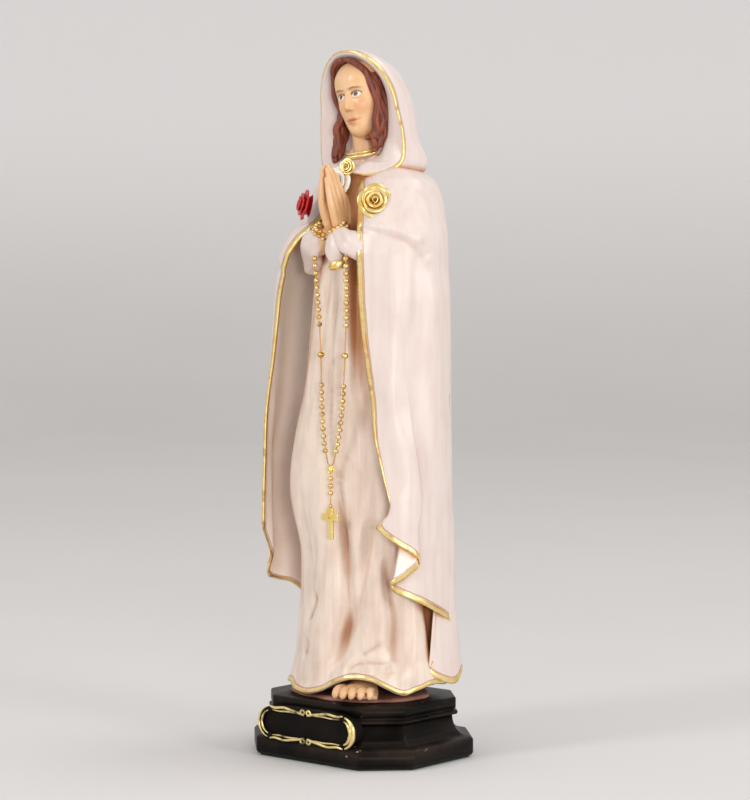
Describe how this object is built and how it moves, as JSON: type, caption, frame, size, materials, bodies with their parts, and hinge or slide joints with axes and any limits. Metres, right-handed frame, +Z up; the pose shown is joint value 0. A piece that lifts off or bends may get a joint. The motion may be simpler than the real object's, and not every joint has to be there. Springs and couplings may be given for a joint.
{
  "type": "madonna statue",
  "caption": "Standing hooded madonna in prayer on a black octagonal plinth, with gold-edged cream robes, roses and a hanging bead rosary.",
  "frame": {"origin": "centre of the plinth's footprint, at the underside of the felt pad", "axes": "+Z up; the figure and the plaque face -Y; +X is the figure's left"},
  "size_m": [0.12, 0.098, 0.4],
  "materials": {
    "plinth_black": "satin black paint on cast resin, rubbed at the edges",
    "plaque_black": "satin black paint",
    "felt": "pressed felt",
    "steel": "zinc plated",
    "ground_paint": "brushed pinkish brown paint",
    "skin_paint": "hand painted skin, satin",
    "cream_paint": "cream paint with a pinkish brown wash in the folds",
    "gold_paint": "metallic gold paint over orange brown",
    "hair_paint": "reddish brown paint",
    "red_paint": "deep red paint",
    "white_paint": "off-white paint",
    "bead_brass": "polished",
    "cross_gold": "bright yellow brass"
  },
  "bodies": {
    "figure": {"plinth": "plinth_black", "plaque_panel": "plaque_black", "plaque_frame": "gold_paint", "felt_pad": "felt", "fixing_screw": "steel", "fixing_washer": "steel", "ground_block": "ground_paint", "left_foot": "skin_paint", "gown": "cream_paint", "mantle": "cream_paint", "hood": "cream_paint", "head": "skin_paint", "hair": "hair_paint", "neck_band": "gold_paint", "left_hand": "skin_paint", "right_hand": "skin_paint", "left_sleeve": "cream_paint", "right_sleeve": "cream_paint", "gold_rose": "gold_paint", "red_rose": "red_paint", "white_rose": "white_paint", "clasp_rose": "gold_paint", "rosary_wrap_left": "bead_brass", "rosary_wrap_right": "bead_brass"},
    "rosary_loop": {"rosary_decade_1": "bead_brass", "rosary_decade_2": "bead_brass", "rosary_decade_3": "bead_brass", "rosary_decade_4": "bead_brass", "rosary_single_bead_left": "bead_brass", "rosary_single_bead_right": "bead_brass", "rosary_centre": "bead_brass"},
    "rosary_drop": {"rosary_drop": "bead_brass"},
    "crucifix": {"rosary_crucifix": "cross_gold"}
  },
  "joints": [
    {"name": "rosary_swing", "type": "hinge", "parent": "figure", "child": "rosary_loop", "pos_m": [0.0054, -0.0344, 0.2845], "axis": [-1, 0, 0], "range_deg": [0, 60]},
    {"name": "drop_swing", "type": "hinge", "parent": "rosary_loop", "child": "rosary_drop", "pos_m": [0.0059, -0.0344, 0.1623], "axis": [0, 1, 0], "range_deg": [-35, 35]},
    {"name": "crucifix_swing", "type": "hinge", "parent": "rosary_drop", "child": "crucifix", "pos_m": [0.0059, -0.0344, 0.1445], "axis": [-1, 0, 0], "range_deg": [0, 70]}
  ]
}
